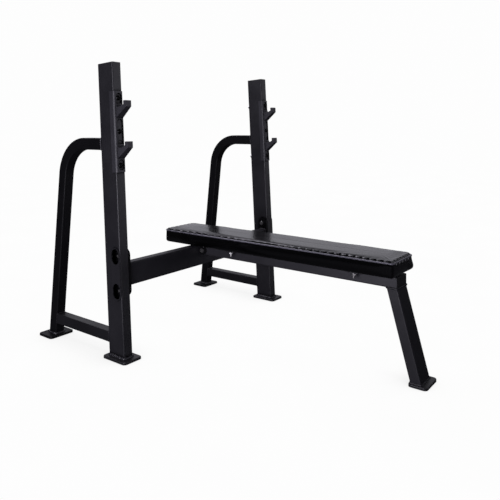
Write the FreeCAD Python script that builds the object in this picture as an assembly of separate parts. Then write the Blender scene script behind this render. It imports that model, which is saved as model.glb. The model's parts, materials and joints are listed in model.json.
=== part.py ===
import FreeCAD, Part
import math
import os

# Olympic flat bench press: two side frames with bar catches, a cross beam, a bench spine
# with one front leg, and a long upholstered pad.
#
# Frame: millimetres, +Z up. The origin is on the floor, midway between the uprights, below
# the uprights' front faces. The lifter's feet are toward -Y and the head toward +Y.
# The left side frame is at -X. The right one is its mirror image.

# Driving dimensions ---------------------------------------------------------------------
POST_SPACING = 1007.0        # centre to centre of the uprights
POST_WIDTH = 44.0            # upright tube, across the bench
POST_DEPTH = 94.0            # upright tube, along the bench
POST_HEIGHT = 1203.0         # height of the cut upright, front edge
POST_LEAN = 3.1              # degrees the uprights lean toward the head end
TUBE_WALL = 2.5
TUBE_CORNER = 5.0            # outer corner radius of every tube

STRUT_DEPTH = 50.0           # rear strut section, in the side view
STRUT_FLOOR_Y = 523.0        # rear face of the strut at floor level
STRUT_LEAN = 6.6             # degrees the strut leans toward the uprights
STRUT_TOP = 895.0            # top face of the strut's level run
STRUT_BEND = 152.0           # bend radius of the strut's centre line

RAIL_BOTTOM = 58.0
RAIL_HEIGHT = 45.0

BEAM_HEIGHT = 95.0
BEAM_DEPTH = 40.0
BEAM_BOTTOM = 290.0
BEAM_FRONT = 30.5            # front face of the cross beam

SPINE_WIDTH = 88.0
SPINE_HEIGHT = 42.0
SPINE_BOTTOM = 342.0
SPINE_FRONT = -943.0         # front end of the spine tube

LEG_LEAN = 15.4              # degrees
LEG_FLOOR_Y = -1040.0        # front face of the leg at floor level

FOOT_THICK = 10.0
FOOT_CORNER = 14.0
FOOT_RIM = 3.0               # softening of a floor plate's upper rim
FRONT_FOOT = {"front": -30.0, "rear": 109.0, "width": 92.0}
REAR_FOOT = {"front": 451.0, "rear": 549.0, "width": 118.0}
LEG_FOOT = {"front": LEG_FLOOR_Y - 21.0, "rear": LEG_FLOOR_Y + 51.0, "width": 112.0}

CAP_LIP = 2.5                # plastic plugs in open tube ends
CAP_RIM = 1.6
CAP_PLUG = 18.0
CAP_FIT = 0.3

PAD_TOP = 454.0
PAD_BOTTOM = 390.0
PAD_HALF_WIDTH = 102.0
PAD_HEAD = 220.0
PAD_FOOT = -955.0
PAD_PLAN_CORNER = 34.0
PAD_TOP_ROLL = 14.0
PAD_BOTTOM_ROLL = 9.0

# Bar catches, in the frame of the leaning upright
CATCH_BASE = 758.0           # lower end of the catch, measured along the upright
CATCH_HEIGHT = 330.0
CATCH_PLATE = 6.0
CATCH_CORNER = 11.0          # rounding of the catch's upright front edges
CATCH_CHEEK = 2.0            # thickness of the side cheeks
CATCH_CHEEK_DEPTH = 24.0     # how far the cheeks reach back along the upright
CATCH_SADDLES = (857.0, 1021.5)
CATCH_BOLT_PITCH = 137.5
CATCH_BOLT_END = 27.5        # from the catch's end to its nearest bolt
CATCH_SCREW_LENGTH = 22.0
POCKET_WIDTH = 30.0          # round-ended recesses in the front, above and below each hook
POCKET_DEPTH = 4.5
POCKET_END = 8.0             # from the catch's end to the nearest recess
POCKET_GAP = 4.0             # from a hook to the nearest recess
POCKET_WINDOW = 26.0         # round opening through the plate, above each saddle
HOOK_REACH = 64.0            # from the upright's front face to the hook's nose
HOOK_NOSE = 15.0             # thickness of the upright nose
HOOK_NOSE_HEIGHT = 24.0      # above the saddle
HOOK_NOSE_DROP = 1.0         # foot of the nose below the saddle
HOOK_ROOT_DROP = 43.0        # root of the hook below the saddle
HOOK_ROOT_LENGTH = 6.0       # part of the hook that keeps its width, next to the plate
HOOK_RAMP_RISE = 9.0         # from the saddle to the foot of the nose
HOOK_RAMP_SAG = 3.0
HOOK_ROUND = 3.0             # rounding of the nose's top
HOOK_TIP_WIDTH = 27.0
HOOK_ROOT_WIDTH = 36.0
SADDLE_RADIUS = 14.5         # takes a 28 to 29 mm bar shaft

# Beam joint, in the frame of the leaning upright
FLANGE_WIDTH = 54.0
FLANGE_THICK = 9.0
FLANGE_BOLT_PITCH = 140.0
FLANGE_CENTRE = 348.0        # height of the joint's centre along the upright
FLANGE_SETBACK = 28.0        # joint centre line behind the upright's front face
BACKING_THICK = 3.0
BACKING_LENGTH = 212.0
ACCESS_WIDTH = 46.0          # oval opening over each bolt, outer side of the upright
ACCESS_HEIGHT = 64.0
ACCESS_STEP = 1.0            # the plate's opening is this much smaller than the tube's
SLEEVE_LENGTH = 15.0

EAR_THICK = 5.0              # bracket that holds the spine on the cross beam
EAR_HEIGHT = 39.0
EAR_REACH = 38.5             # from the beam's front face to the ear's round end
EAR_GAP = 0.3                # between the spine's side and an ear
SPINE_END_GAP = 0.5

PAD_BRACKET_Y = (-176.0, -783.0)
PAD_BRACKET_SIZE = (168.0, 50.0, 6.0)
PAD_BRACKET_CORNER = 10.0
PAD_BOLT_X = 70.0
PAD_BOLT_TIP = 363.0         # height of the bolts' lower ends
PAD_BOLT_ROOM = 26.0         # opening in the foam over each bolt head
BOARD_THICK = 15.0
BOARD_EDGE = 10.0            # the board is this much smaller than the pad all round
COVER_THICK = 1.2
SOFT_GAP = 0.4
COVER_HEM = 40.0             # the cover folds this far under the board
COVER_HEM_CORNER = 12.0

# Fastener sizes: shank diameter, width across flats, head height, nut height,
# washer diameter, washer thickness
M12 = {"shank": 12.0, "flats": 19.0, "head": 7.5, "nut": 10.0, "washer": 24.0, "thick": 2.0}
M10 = {"shank": 10.0, "flats": 16.0, "head": 6.4, "nut": 8.5, "washer": 24.0, "thick": 2.0}
HOLE_PLAY = 1.0              # a clearance hole is this much wider than its bolt
THREAD_PLAY = 0.2            # a nut's bore is this much wider than the shank
THREAD_TAIL = 4.0            # how far a bolt stands out of its nut
SLEEVE_WALL = 4.5
HEX_BEVEL = 0.09             # bevel of a hexagon's corners, of its width across flats
BUTTON_HEAD = {"radius": 0.88, "height": 0.5}      # of the shank diameter
BUTTON_SOCKET = {"flats": 0.6, "floor": 0.35}
CARRIAGE_HEAD = {"radius": 1.05, "height": 0.3}

X_AXIS = FreeCAD.Vector(1, 0, 0)
Y_AXIS = FreeCAD.Vector(0, 1, 0)
Z_AXIS = FreeCAD.Vector(0, 0, 1)
DIAGONAL = FreeCAD.Vector(1, 1, 1)   # a third of a turn about it takes X to Y, Y to Z and Z to X
ORIGIN = FreeCAD.Vector(0, 0, 0)
FAR = 3000.0                 # larger than the whole bench
POST_X = -POST_SPACING / 2   # centre plane of the left upright


def vec(x, y, z):
    return FreeCAD.Vector(x, y, z)


# Basic shapes -----------------------------------------------------------------------------
def rounded_wire(width, height, radius):
    """Rounded rectangle about the origin in the XY plane."""
    half_w = width / 2
    half_h = height / 2
    corners = ((1, 1, 0), (-1, 1, 90), (-1, -1, 180), (1, -1, 270))
    arcs = []
    for sign_x, sign_y, start in corners:
        centre = vec(sign_x * (half_w - radius), sign_y * (half_h - radius), 0)
        circle = Part.Circle(centre, Z_AXIS, radius)
        arcs.append(circle.toShape(math.radians(start), math.radians(start + 90)))
    edges = []
    for index, arc in enumerate(arcs):
        following = arcs[(index + 1) % len(arcs)]
        start = arc.Vertexes[-1].Point
        end = following.Vertexes[0].Point
        edges.append(arc)
        if start.distanceToPoint(end) > 0.001:
            edges.append(Part.makeLine(start, end))
    return Part.Wire(edges)


def rounded_prism(width, height, radius, length):
    """Rounded rectangle about the Z axis, raised from z 0."""
    return Part.Face(rounded_wire(width, height, radius)).extrude(vec(0, 0, length))


def slot_prism(width, height, length):
    """Plate with two half-round ends, long in Y, raised from z 0."""
    return rounded_prism(width, height, width / 2 - 0.001, length)


def tube(width, height, length, wall=TUBE_WALL, corner=TUBE_CORNER):
    """Hollow rectangular tube about the Z axis, from z 0."""
    outer = rounded_prism(width, height, corner, length)
    bore = rounded_prism(width - 2 * wall, height - 2 * wall, corner - wall, length)
    return outer.cut(bore)


def rod(diameter, length, start, axis):
    return Part.makeCylinder(diameter / 2, length, start, axis)


def box(x0, x1, y0, y1, z0, z1):
    return Part.makeBox(x1 - x0, y1 - y0, z1 - z0, vec(x0, y0, z0))


def turned(shape, axis, angle):
    """Copy turned about an axis through the origin."""
    copy = shape.copy()
    copy.rotate(ORIGIN, axis, angle)
    return copy


def moved(shape, x, y, z):
    copy = shape.copy()
    copy.translate(vec(x, y, z))
    return copy


def mirrored(shape):
    """The same piece on the right side frame."""
    return shape.mirror(ORIGIN, X_AXIS)


# Fasteners: each lies on the Z axis with its bearing face at z 0 ------------------------
def hexagon(size, height):
    """Hexagonal head or nut with its corners turned off."""
    corner_radius = size["flats"] / math.sqrt(3)
    points = []
    for index in range(7):
        angle = math.radians(60 * index)
        points.append(vec(corner_radius * math.cos(angle), corner_radius * math.sin(angle), 0))
    prism = Part.Face(Part.makePolygon(points)).extrude(vec(0, 0, height))
    bevel = size["flats"] * HEX_BEVEL
    rim = size["flats"] / 2
    turned_blank = Part.makeCylinder(corner_radius, height - bevel)
    crown = Part.makeCone(corner_radius, rim, bevel, vec(0, 0, height - bevel))
    return prism.common(turned_blank.fuse(crown))


def with_shank(head, size, length):
    """A head above z 0 with its shank below."""
    return head.fuse(rod(size["shank"], length, ORIGIN, -Z_AXIS)).removeSplitter()


def domed_head(size, proportions):
    """Part of a ball, standing on z 0."""
    radius = size["shank"] * proportions["radius"]
    height = size["shank"] * proportions["height"]
    dome_radius = (radius ** 2 + height ** 2) / (2 * height)
    ball = Part.makeSphere(dome_radius, vec(0, 0, height - dome_radius))
    return ball.common(Part.makeCylinder(radius, height))


def hex_bolt(size, length):
    return with_shank(hexagon(size, size["head"]), size, length)


def button_bolt(size, length):
    """Low domed head with a hexagon socket."""
    height = size["shank"] * BUTTON_HEAD["height"]
    socket = hexagon({"flats": size["shank"] * BUTTON_SOCKET["flats"]}, height)
    head = domed_head(size, BUTTON_HEAD).cut(moved(socket, 0, 0, height * BUTTON_SOCKET["floor"]))
    return with_shank(head, size, length)


def carriage_bolt(size, length):
    """Thin round head."""
    return with_shank(domed_head(size, CARRIAGE_HEAD), size, length)


def nut(size):
    bore = rod(size["shank"] + THREAD_PLAY, size["nut"], ORIGIN, Z_AXIS)
    return hexagon(size, size["nut"]).cut(bore)


def washer(size):
    disc = rod(size["washer"], size["thick"], ORIGIN, Z_AXIS)
    return disc.cut(rod(size["shank"] + HOLE_PLAY, size["thick"], ORIGIN, Z_AXIS))


def sleeve(size, length):
    body = rod(size["shank"] + 2 * SLEEVE_WALL, length, ORIGIN, Z_AXIS)
    return body.cut(rod(size["shank"] + HOLE_PLAY, length, ORIGIN, Z_AXIS))


# Frames of the leaning pieces --------------------------------------------------------------
def on_post(shape):
    """Takes a shape from the upright's own frame to the bench.

    In the upright's frame x is across, y is 0 on its front face, and z runs up its axis."""
    return moved(turned(shape, X_AXIS, -POST_LEAN), POST_X, 0, 0)


def ahead_of_post_rear():
    """Everything in front of the left upright's rear face, to trim what meets it."""
    return on_post(box(-FAR, FAR, -FAR, POST_DEPTH, -FAR, FAR))


def below(height):
    return box(-FAR, FAR, -FAR, FAR, -FAR, height)


def above(height):
    return box(-FAR, FAR, -FAR, FAR, height, FAR)


def across(shape, x, y, z):
    """Lays a Z-axis fastener along +X with its bearing face at x."""
    return moved(turned(shape, Y_AXIS, 90), x, y, z)


def across_back(shape, x, y, z):
    """Lays a Z-axis fastener along -X with its bearing face at x."""
    return moved(turned(shape, Y_AXIS, -90), x, y, z)


def forward(shape, x, y, z):
    """Lays a Z-axis fastener along -Y with its bearing face at y."""
    return moved(turned(shape, X_AXIS, 90), x, y, z)


def rearward(shape, x, y, z):
    """Lays a Z-axis fastener along +Y with its bearing face at y."""
    return moved(turned(shape, X_AXIS, -90), x, y, z)


def joint_heights():
    half_pitch = FLANGE_BOLT_PITCH / 2
    return (FLANGE_CENTRE - half_pitch, FLANGE_CENTRE + half_pitch)


def catch_bolt_heights():
    lowest = CATCH_BASE + CATCH_BOLT_END
    return (lowest, lowest + CATCH_BOLT_PITCH, lowest + 2 * CATCH_BOLT_PITCH)


# Side frame --------------------------------------------------------------------------------
def side_slot(width, height, thickness, x, z):
    """Slot-shaped plate lying against the upright's side, from x outward along +X."""
    plate = turned(slot_prism(width, height, thickness), DIAGONAL, 120)
    return moved(plate, x, FLANGE_SETBACK, z)


def post_length():
    return POST_HEIGHT / math.cos(math.radians(POST_LEAN))


def end_cap(width, height):
    """Plastic plug for an open tube end at z 0, with a low crown above it."""
    inner = TUBE_WALL + CAP_FIT
    crown = rounded_prism(width, height, TUBE_CORNER, CAP_LIP)
    rim = [edge for edge in crown.Edges if edge.BoundBox.ZMin > CAP_LIP - 0.01]
    crown = crown.makeFillet(CAP_RIM, rim)
    plug = rounded_prism(width - 2 * inner, height - 2 * inner, TUBE_CORNER - TUBE_WALL, CAP_PLUG)
    return crown.fuse(moved(plug, 0, 0, -CAP_PLUG)).removeSplitter()


def upright():
    body = tube(POST_WIDTH, POST_DEPTH, post_length() + POST_DEPTH)
    body = moved(body, 0, POST_DEPTH / 2, -POST_DEPTH)
    half = POST_WIDTH / 2
    for height in joint_heights():
        body = body.cut(side_slot(ACCESS_WIDTH, ACCESS_HEIGHT, TUBE_WALL, -half, height))
        wall = vec(half - TUBE_WALL, FLANGE_SETBACK, height)
        body = body.cut(rod(M12["shank"] + HOLE_PLAY, TUBE_WALL, wall, X_AXIS))
    low, middle, high = catch_bolt_heights()
    for height in (low, high):
        body = body.cut(rod(M12["shank"] + HOLE_PLAY, POST_DEPTH, vec(0, 0, height), Y_AXIS))
    body = body.cut(rod(M12["shank"] + HOLE_PLAY, TUBE_WALL, vec(0, 0, middle), Y_AXIS))
    return on_post(body).cut(below(FOOT_THICK))


def upright_cap():
    return on_post(moved(end_cap(POST_WIDTH, POST_DEPTH), 0, POST_DEPTH / 2, post_length()))


def strut_path():
    """Centre line of the bent strut in the plane x 0, from below the floor to inside the upright."""
    lean = math.radians(STRUT_LEAN)
    level = STRUT_TOP - STRUT_DEPTH / 2
    floor_y = STRUT_FLOOR_Y - STRUT_DEPTH / 2 / math.cos(lean)
    corner = vec(0, floor_y - level * math.tan(lean), level)
    turn = math.radians(90) - lean
    setback = STRUT_BEND * math.tan(turn / 2)
    upward = vec(0, -math.sin(lean), math.cos(lean))
    bend_start = corner - upward * setback
    bend_end = corner - Y_AXIS * setback
    to_corner = (corner - (bend_start + bend_end) * 0.5).normalize()
    centre = bend_end - Z_AXIS * STRUT_BEND
    bend_middle = centre + to_corner * STRUT_BEND
    foot = bend_start - upward * ((bend_start.z + STRUT_DEPTH) / math.cos(lean))
    head = vec(0, POST_DEPTH / 2, level)
    lower = Part.makeLine(foot, bend_start)
    bend = Part.Arc(bend_start, bend_middle, bend_end).toShape()
    upper = Part.makeLine(bend_end, head)
    return Part.Wire([lower, bend, upper]), foot, upward


def strut_sweep(inset):
    path, foot, upward = strut_path()
    wire = rounded_wire(POST_WIDTH - 2 * inset, STRUT_DEPTH - 2 * inset, TUBE_CORNER - inset)
    wire.rotate(ORIGIN, X_AXIS, STRUT_LEAN)
    wire.translate(foot)
    return path.makePipeShell([wire], True, False)


def rear_strut():
    body = strut_sweep(0).cut(strut_sweep(TUBE_WALL))
    body = moved(body, POST_X, 0, 0)
    return body.cut(below(FOOT_THICK)).cut(ahead_of_post_rear())


def lower_rail():
    length = STRUT_FLOOR_Y
    body = turned(tube(POST_WIDTH, RAIL_HEIGHT, length), X_AXIS, -90)
    body = moved(body, POST_X, 0, RAIL_BOTTOM + RAIL_HEIGHT / 2)
    front_of_strut = STRUT_FLOOR_Y - STRUT_DEPTH / math.cos(math.radians(STRUT_LEAN))
    behind = turned(box(-FAR, FAR, 0, FAR, -FAR, FAR), X_AXIS, STRUT_LEAN)
    return body.cut(ahead_of_post_rear()).cut(moved(behind, 0, front_of_strut, 0))


def foot_plate(x, size):
    """Rounded floor plate; its upper rim is softened."""
    body = rounded_prism(size["width"], size["rear"] - size["front"], FOOT_CORNER, FOOT_THICK)
    rim = [edge for edge in body.Edges if edge.BoundBox.ZMin > FOOT_THICK - 0.01]
    body = body.makeFillet(FOOT_RIM, rim)
    return moved(body, x, (size["rear"] + size["front"]) / 2, 0)


# Bar catch ---------------------------------------------------------------------------------
def arc(start, middle, end):
    return Part.Arc(start, middle, end).toShape()


def hook_profile(saddle):
    """Side view of one hook in the upright's frame, from inside the catch plate to the nose."""
    plate = -CATCH_PLATE
    inside_plate = plate + POCKET_DEPTH + 1.0
    diagonal = math.cos(math.radians(45))
    low_y = plate - SADDLE_RADIUS
    inner = -HOOK_REACH + HOOK_NOSE
    outer = -HOOK_REACH
    top = saddle + HOOK_NOSE_HEIGHT
    shoulder = top - HOOK_ROUND
    bulge = HOOK_ROUND * (1 - diagonal)
    cup_start = vec(0, plate, saddle + SADDLE_RADIUS)
    cup_middle = vec(0, low_y + SADDLE_RADIUS * diagonal, saddle + SADDLE_RADIUS * (1 - diagonal))
    low = vec(0, low_y, saddle)
    ramp_middle = vec(0, (low_y + inner) / 2, saddle + (HOOK_RAMP_RISE - HOOK_RAMP_SAG) / 2)
    ramp_end = vec(0, inner, saddle + HOOK_RAMP_RISE)
    inner_shoulder = vec(0, inner, shoulder)
    inner_top = vec(0, inner - HOOK_ROUND, top)
    outer_top = vec(0, outer + HOOK_ROUND, top)
    outer_shoulder = vec(0, outer, shoulder)
    nose_foot = vec(0, outer, saddle - HOOK_NOSE_DROP)
    root = vec(0, plate, saddle - HOOK_ROOT_DROP)
    root_back = vec(0, inside_plate, saddle - HOOK_ROOT_DROP)
    back_top = vec(0, inside_plate, saddle + SADDLE_RADIUS)
    return Part.Face(Part.Wire([
        arc(cup_start, cup_middle, low),
        arc(low, ramp_middle, ramp_end),
        Part.makeLine(ramp_end, inner_shoulder),
        arc(inner_shoulder, vec(0, inner - bulge, top - bulge), inner_top),
        Part.makeLine(inner_top, outer_top),
        arc(outer_top, vec(0, outer + bulge, top - bulge), outer_shoulder),
        Part.makeLine(outer_shoulder, nose_foot),
        Part.makeLine(nose_foot, root),
        Part.makeLine(root, root_back),
        Part.makeLine(root_back, back_top),
        Part.makeLine(back_top, cup_start),
    ]))


def hook_plan():
    """Top view of a hook: wide at the catch plate, narrower at the nose."""
    half = HOOK_ROOT_WIDTH / 2
    tip = HOOK_TIP_WIDTH / 2
    taper_start = -CATCH_PLATE - HOOK_ROOT_LENGTH
    return Part.Face(Part.makePolygon([
        vec(-half, 0, 0),
        vec(-half, taper_start, 0),
        vec(-tip, -HOOK_REACH, 0),
        vec(tip, -HOOK_REACH, 0),
        vec(half, taper_start, 0),
        vec(half, 0, 0),
        vec(-half, 0, 0),
    ]))


def hook(saddle):
    side = hook_profile(saddle).extrude(vec(POST_WIDTH, 0, 0))
    side = moved(side, -POST_WIDTH / 2, 0, 0)
    return side.common(hook_plan().extrude(vec(0, 0, FAR)))


def pocket(low, high):
    """Shallow round-ended recess in the catch's front, between two heights."""
    blank = turned(slot_prism(POCKET_WIDTH, high - low, POCKET_DEPTH), X_AXIS, 90)
    return moved(blank, 0, -CATCH_PLATE + POCKET_DEPTH, (low + high) / 2)


def pocket_spans():
    """Lower and upper end of each recess, from the bottom of the catch to its top."""
    low_saddle, high_saddle = CATCH_SADDLES
    drop = HOOK_ROOT_DROP + POCKET_GAP
    return (
        (CATCH_BASE + POCKET_END, low_saddle - drop),
        (low_saddle + POCKET_GAP, high_saddle - drop),
        (high_saddle + POCKET_GAP, CATCH_BASE + CATCH_HEIGHT - POCKET_END),
    )


def bar_catch():
    half = POST_WIDTH / 2 + CATCH_CHEEK
    top = CATCH_BASE + CATCH_HEIGHT
    shell = box(-half, half, -CATCH_PLATE, CATCH_CHEEK_DEPTH, CATCH_BASE, top)
    front_edges = [
        edge for edge in shell.Edges
        if edge.BoundBox.YMax < -CATCH_PLATE + 0.01 and edge.BoundBox.ZLength > CATCH_HEIGHT - 1
    ]
    shell = shell.makeFillet(CATCH_CORNER, front_edges)
    core = rounded_prism(POST_WIDTH, POST_DEPTH, TUBE_CORNER, FAR)
    shell = shell.cut(moved(core, 0, POST_DEPTH / 2, 0))
    for low, high in pocket_spans():
        shell = shell.cut(pocket(low, high))
    for saddle in CATCH_SADDLES:
        centre = saddle + POCKET_GAP + POCKET_WIDTH / 2
        window = rod(POCKET_WINDOW, CATCH_PLATE, vec(0, -CATCH_PLATE, centre), Y_AXIS)
        shell = shell.cut(window).fuse(hook(saddle))
    for height in catch_bolt_heights():
        bolt_hole = rod(M12["shank"] + HOLE_PLAY, CATCH_PLATE, vec(0, -CATCH_PLATE, height), Y_AXIS)
        shell = shell.cut(bolt_hole)
    return on_post(shell.removeSplitter())


def long_bolt_heights():
    heights = catch_bolt_heights()
    return (heights[0], heights[2])


def catch_bolts():
    """Long bolts from the catch's front through the whole upright."""
    seat = -CATCH_PLATE + POCKET_DEPTH
    through = POST_DEPTH - seat + M12["thick"] + M12["nut"] + THREAD_TAIL
    bolt = button_bolt(M12, through)
    return [on_post(forward(bolt, 0, seat, height)) for height in long_bolt_heights()]


def catch_screws():
    """One short screw in the middle of each catch."""
    middle = catch_bolt_heights()[1]
    seat = -CATCH_PLATE + POCKET_DEPTH
    return [on_post(forward(button_bolt(M12, CATCH_SCREW_LENGTH), 0, seat, middle))]


def catch_washers():
    return [on_post(rearward(washer(M12), 0, POST_DEPTH, height)) for height in long_bolt_heights()]


def catch_nuts():
    face = POST_DEPTH + M12["thick"]
    return [on_post(rearward(nut(M12), 0, face, height)) for height in long_bolt_heights()]


# Cross beam and its joints -------------------------------------------------------------------
def beam_flange():
    """Slot-shaped end plate of the beam, against the upright's inner side."""
    height = FLANGE_BOLT_PITCH + FLANGE_WIDTH
    body = side_slot(FLANGE_WIDTH, height, FLANGE_THICK, POST_WIDTH / 2, FLANGE_CENTRE)
    for z in joint_heights():
        start = vec(POST_WIDTH / 2, FLANGE_SETBACK, z)
        body = body.cut(rod(M12["shank"] + HOLE_PLAY, FLANGE_THICK, start, X_AXIS))
    return on_post(body)


def backing_plate():
    """Slot-shaped plate on the upright's outer side, open over each bolt."""
    face = -POST_WIDTH / 2 - BACKING_THICK
    body = side_slot(FLANGE_WIDTH, BACKING_LENGTH, BACKING_THICK, face, FLANGE_CENTRE)
    width = ACCESS_WIDTH - ACCESS_STEP
    height = ACCESS_HEIGHT - ACCESS_STEP
    for z in joint_heights():
        body = body.cut(side_slot(width, height, BACKING_THICK, face, z))
    return on_post(body)


def joint_bolts():
    """Bolts from the beam side, through flange, wall and sleeve, to a nut inside the upright."""
    head_face = POST_WIDTH / 2 + FLANGE_THICK + M12["thick"]
    nut_face = POST_WIDTH / 2 - TUBE_WALL - SLEEVE_LENGTH - M12["thick"]
    inner_wall = POST_WIDTH / 2 - TUBE_WALL
    shank = head_face - nut_face + M12["nut"] + THREAD_TAIL
    groups = {"beam_bolts": [], "beam_bolt_washers": [], "beam_bolt_sleeves": [], "beam_bolt_nuts": []}
    for z in joint_heights():
        place = (FLANGE_SETBACK, z)
        groups["beam_bolts"].append(on_post(across(hex_bolt(M12, shank), head_face, *place)))
        groups["beam_bolt_washers"].append(on_post(across_back(washer(M12), head_face, *place)))
        groups["beam_bolt_washers"].append(on_post(across(washer(M12), nut_face, *place)))
        spacer = across_back(sleeve(M12, SLEEVE_LENGTH), inner_wall, *place)
        groups["beam_bolt_sleeves"].append(on_post(spacer))
        groups["beam_bolt_nuts"].append(on_post(across_back(nut(M12), nut_face, *place)))
    return groups


def cross_beam():
    length = POST_SPACING - POST_WIDTH - 2 * FLANGE_THICK
    body = turned(tube(BEAM_HEIGHT, BEAM_DEPTH, length), Y_AXIS, 90)
    return moved(body, -length / 2, BEAM_FRONT + BEAM_DEPTH / 2, BEAM_BOTTOM + BEAM_HEIGHT / 2)


def spine_bolt_axis():
    return BEAM_FRONT - EAR_REACH + EAR_HEIGHT / 2, SPINE_BOTTOM + SPINE_HEIGHT / 2


def spine_bracket():
    """Folded bracket: a base against the beam and two round-ended ears along the spine."""
    half = SPINE_WIDTH / 2 + EAR_GAP
    outer = half + EAR_THICK
    y, z = spine_bolt_axis()
    low = z - EAR_HEIGHT / 2
    high = z + EAR_HEIGHT / 2
    blank = box(-outer, outer, BEAM_FRONT - EAR_REACH, BEAM_FRONT, low, high)
    folds = [
        edge for edge in blank.Edges
        if edge.BoundBox.YMin > BEAM_FRONT - 0.01 and edge.BoundBox.ZLength > EAR_HEIGHT - 1
    ]
    blank = blank.makeFillet(EAR_THICK + 1, folds)
    blank = blank.cut(box(-half, half, -FAR, BEAM_FRONT - EAR_THICK, 0, FAR))
    round_end = rod(EAR_HEIGHT, 2 * outer, vec(-outer, y, z), X_AXIS)
    keep = round_end.fuse(box(-outer, outer, y, BEAM_FRONT, low, high))
    hole = rod(M12["shank"] + HOLE_PLAY, 2 * outer, vec(-outer, y, z), X_AXIS)
    return blank.common(keep).cut(hole).removeSplitter()


def bench_spine():
    rear = BEAM_FRONT - EAR_THICK - SPINE_END_GAP
    length = rear - SPINE_FRONT
    body = turned(tube(SPINE_WIDTH, SPINE_HEIGHT, length), X_AXIS, -90)
    body = moved(body, 0, SPINE_FRONT, SPINE_BOTTOM + SPINE_HEIGHT / 2)
    y, z = spine_bolt_axis()
    hole = rod(M12["shank"] + HOLE_PLAY, SPINE_WIDTH, vec(-SPINE_WIDTH / 2, y, z), X_AXIS)
    return body.cut(hole)


def spine_fasteners():
    y, z = spine_bolt_axis()
    ear_face = SPINE_WIDTH / 2 + EAR_GAP + EAR_THICK
    seat = ear_face + M12["thick"]
    inside = SPINE_WIDTH / 2 - TUBE_WALL
    shank = 2 * seat + M12["nut"] + THREAD_TAIL
    return {
        "spine_bolt": [across_back(hex_bolt(M12, shank), -seat, y, z)],
        "spine_bolt_washers": [
            across_back(washer(M12), -ear_face, y, z),
            across(washer(M12), ear_face, y, z),
        ],
        "spine_bolt_nut": [across(nut(M12), seat, y, z)],
        "spine_sleeve": [across(sleeve(M12, 2 * inside), -inside, y, z)],
    }


def spine_end_cap():
    cap = turned(end_cap(SPINE_WIDTH, SPINE_HEIGHT), X_AXIS, 90)
    return moved(cap, 0, SPINE_FRONT, SPINE_BOTTOM + SPINE_HEIGHT / 2)


def front_leg():
    """Same tube as the spine, cut to the floor plate and to the spine's underside."""
    body = tube(SPINE_WIDTH, SPINE_HEIGHT, 2 * SPINE_BOTTOM)
    body = moved(body, 0, SPINE_HEIGHT / 2, -SPINE_HEIGHT)
    body = moved(turned(body, X_AXIS, -LEG_LEAN), 0, LEG_FLOOR_Y, 0)
    return body.cut(below(FOOT_THICK)).cut(above(SPINE_BOTTOM))


# Pad ---------------------------------------------------------------------------------------
def pad_solid(inset):
    """Pad outline with rolled edges, taken in by an inset all round."""
    width = 2 * (PAD_HALF_WIDTH - inset)
    length = PAD_HEAD - PAD_FOOT - 2 * inset
    height = PAD_TOP - PAD_BOTTOM - 2 * inset
    body = rounded_prism(width, length, PAD_PLAN_CORNER - inset, height)
    top = [edge for edge in body.Edges if edge.BoundBox.ZMin > height - 0.01]
    body = body.makeFillet(PAD_TOP_ROLL - inset, top)
    bottom = [edge for edge in body.Edges if edge.BoundBox.ZMax < 0.01]
    body = body.makeFillet(PAD_BOTTOM_ROLL - inset, bottom)
    return moved(body, 0, (PAD_HEAD + PAD_FOOT) / 2, PAD_BOTTOM + inset)


def pad_bolt_places():
    places = []
    for y in PAD_BRACKET_Y:
        for x in (-PAD_BOLT_X, PAD_BOLT_X):
            places.append((x, y))
    return places


def pad_board_top():
    return PAD_BOTTOM + COVER_THICK + SOFT_GAP / 2 + BOARD_THICK


def pad_board():
    width = 2 * (PAD_HALF_WIDTH - BOARD_EDGE)
    length = PAD_HEAD - PAD_FOOT - 2 * BOARD_EDGE
    bottom = pad_board_top() - BOARD_THICK
    body = rounded_prism(width, length, PAD_PLAN_CORNER - BOARD_EDGE, BOARD_THICK)
    body = moved(body, 0, (PAD_HEAD + PAD_FOOT) / 2, bottom)
    for x, y in pad_bolt_places():
        body = body.cut(rod(M10["shank"] + HOLE_PLAY, BOARD_THICK, vec(x, y, bottom), Z_AXIS))
    return body


def pad_foam():
    """Foam over the board, clear of the bolt heads."""
    body = pad_solid(COVER_THICK + SOFT_GAP)
    body = body.cut(below(pad_board_top() + SOFT_GAP))
    for x, y in pad_bolt_places():
        body = body.cut(rod(PAD_BOLT_ROOM, M10["head"], vec(x, y, pad_board_top()), Z_AXIS))
    return body


def pad_cover():
    """Upholstery: a thin shell that folds under the board and leaves its middle open."""
    width = 2 * (PAD_HALF_WIDTH - COVER_HEM)
    length = PAD_HEAD - PAD_FOOT - 2 * COVER_HEM
    opening = rounded_prism(width, length, COVER_HEM_CORNER, PAD_TOP_ROLL)
    opening = moved(opening, 0, (PAD_HEAD + PAD_FOOT) / 2, PAD_BOTTOM - 1)
    body = pad_solid(0).cut(pad_solid(COVER_THICK)).cut(opening)
    for x, y in pad_bolt_places():
        body = body.cut(rod(M10["shank"] + HOLE_PLAY, PAD_TOP_ROLL, vec(x, y, PAD_BOTTOM - 1), Z_AXIS))
    return body


def pad_bracket(y):
    """Flat bar across the top of the spine."""
    width, depth, thick = PAD_BRACKET_SIZE
    body = rounded_prism(width, depth, PAD_BRACKET_CORNER, thick)
    body = moved(body, 0, y, PAD_BOTTOM - thick)
    for x in (-PAD_BOLT_X, PAD_BOLT_X):
        body = body.cut(rod(M10["shank"] + HOLE_PLAY, thick, vec(x, y, PAD_BOTTOM - thick), Z_AXIS))
    return body


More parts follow.
